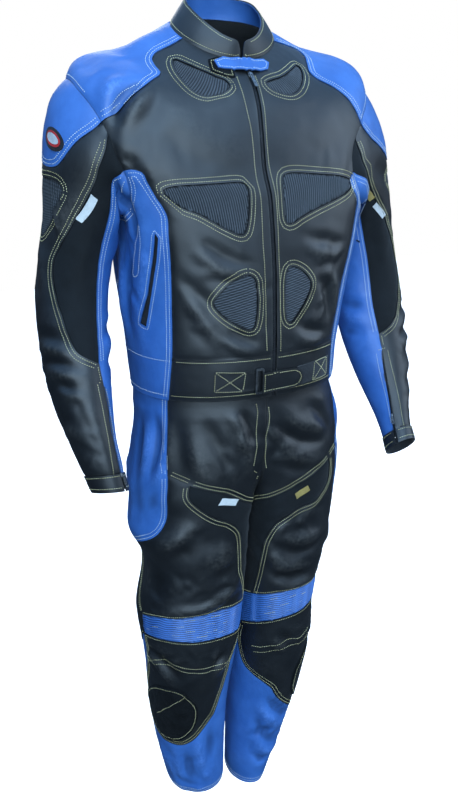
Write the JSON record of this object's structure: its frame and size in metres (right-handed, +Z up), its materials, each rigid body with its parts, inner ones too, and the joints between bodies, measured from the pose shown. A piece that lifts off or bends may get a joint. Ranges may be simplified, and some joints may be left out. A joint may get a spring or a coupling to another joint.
{
  "type": "motorcycle race suit",
  "caption": "Leather motorcycle race suit in worn form: zipped jacket with stand collar and belt tab over trousers with knee patches; hollow, open at neck, cuffs and hems.",
  "frame": {"origin": "base of the neck, on the middle plane, where the wearer's shoulders hold the suit up", "axes": "+Z up, the front faces -Y, the wearer's right is -X and left is +X"},
  "size_m": [0.6457, 0.2872, 1.4017],
  "materials": {
    "black_leather": "satin, fine grain",
    "blue_leather": "satin, fine grain",
    "stretch_fabric": "matt stretch weave",
    "grey_knit": "matt ribbed knit",
    "zip_tape": "matt tape with coil teeth",
    "hook_pile": "fuzzy pile",
    "dark_metal": "dark satin"
  },
  "bodies": {
    "suit": {"arm_knit_left": "grey_knit", "arm_knit_right": "grey_knit", "back": "black_leather", "belly_knit_left": "grey_knit", "belly_knit_right": "grey_knit", "belt_buckle": "dark_metal", "belt_patch": "black_leather", "belt_strap": "black_leather", "belt_tongue": "black_leather", "chest_knit_left": "grey_knit", "chest_knit_right": "grey_knit", "chest_upper_knit_left": "grey_knit", "chest_upper_knit_right": "grey_knit", "collar": "black_leather", "collar_lining": "blue_leather", "cuff_left": "black_leather", "cuff_right": "black_leather", "cuff_zip_left": "zip_tape", "cuff_zip_right": "zip_tape", "front_left": "black_leather", "front_right": "black_leather", "front_zip": "zip_tape", "hem_band_left": "black_leather", "hem_band_right": "black_leather", "hip_left": "blue_leather", "hip_right": "blue_leather", "inner_leg_left": "stretch_fabric", "inner_leg_right": "stretch_fabric", "knee_band_left": "blue_leather", "knee_band_right": "blue_leather", "knee_panel_left": "black_leather", "knee_panel_right": "black_leather", "knee_patch_left": "hook_pile", "knee_patch_right": "hook_pile", "lower_leg_left": "blue_leather", "lower_leg_right": "blue_leather", "pocket_zip_right": "zip_tape", "seat_left": "black_leather", "seat_right": "black_leather", "side_left": "blue_leather", "side_right": "blue_leather", "sleeve_cap_left": "blue_leather", "sleeve_cap_right": "blue_leather", "sleeve_outer_left": "black_leather", "sleeve_outer_right": "black_leather", "sleeve_stretch_left": "stretch_fabric", "sleeve_stretch_right": "stretch_fabric", "sleeve_under_left": "blue_leather", "sleeve_under_right": "blue_leather", "thigh_left": "black_leather", "thigh_right": "black_leather", "throat_pad": "hook_pile", "throat_tab": "blue_leather", "trouser_front_left": "black_leather", "trouser_front_right": "black_leather", "yoke_left": "blue_leather", "yoke_right": "blue_leather"},
    "pull_front": {"zip_pull_front": "dark_metal"},
    "pull_cuff_right": {"zip_pull_cuff_right": "dark_metal"},
    "pull_cuff_left": {"zip_pull_cuff_left": "dark_metal"}
  },
  "joints": [
    {"name": "pull_front_swing", "type": "hinge", "parent": "suit", "child": "pull_front", "pos_m": [0.00153, -0.07387, -0.02148], "axis": [-0.9995, 0.013, -0.0299], "range_deg": [0, 140]},
    {"name": "pull_cuff_right_swing", "type": "hinge", "parent": "suit", "child": "pull_cuff_right", "pos_m": [-0.2287, -0.11599, -0.56063], "axis": [-0.7518, -0.6579, 0.0444], "range_deg": [0, 150]},
    {"name": "pull_cuff_left_swing", "type": "hinge", "parent": "suit", "child": "pull_cuff_left", "pos_m": [0.2568, -0.10728, -0.55642], "axis": [-0.6277, 0.7032, -0.3339], "range_deg": [0, 150]}
  ]
}
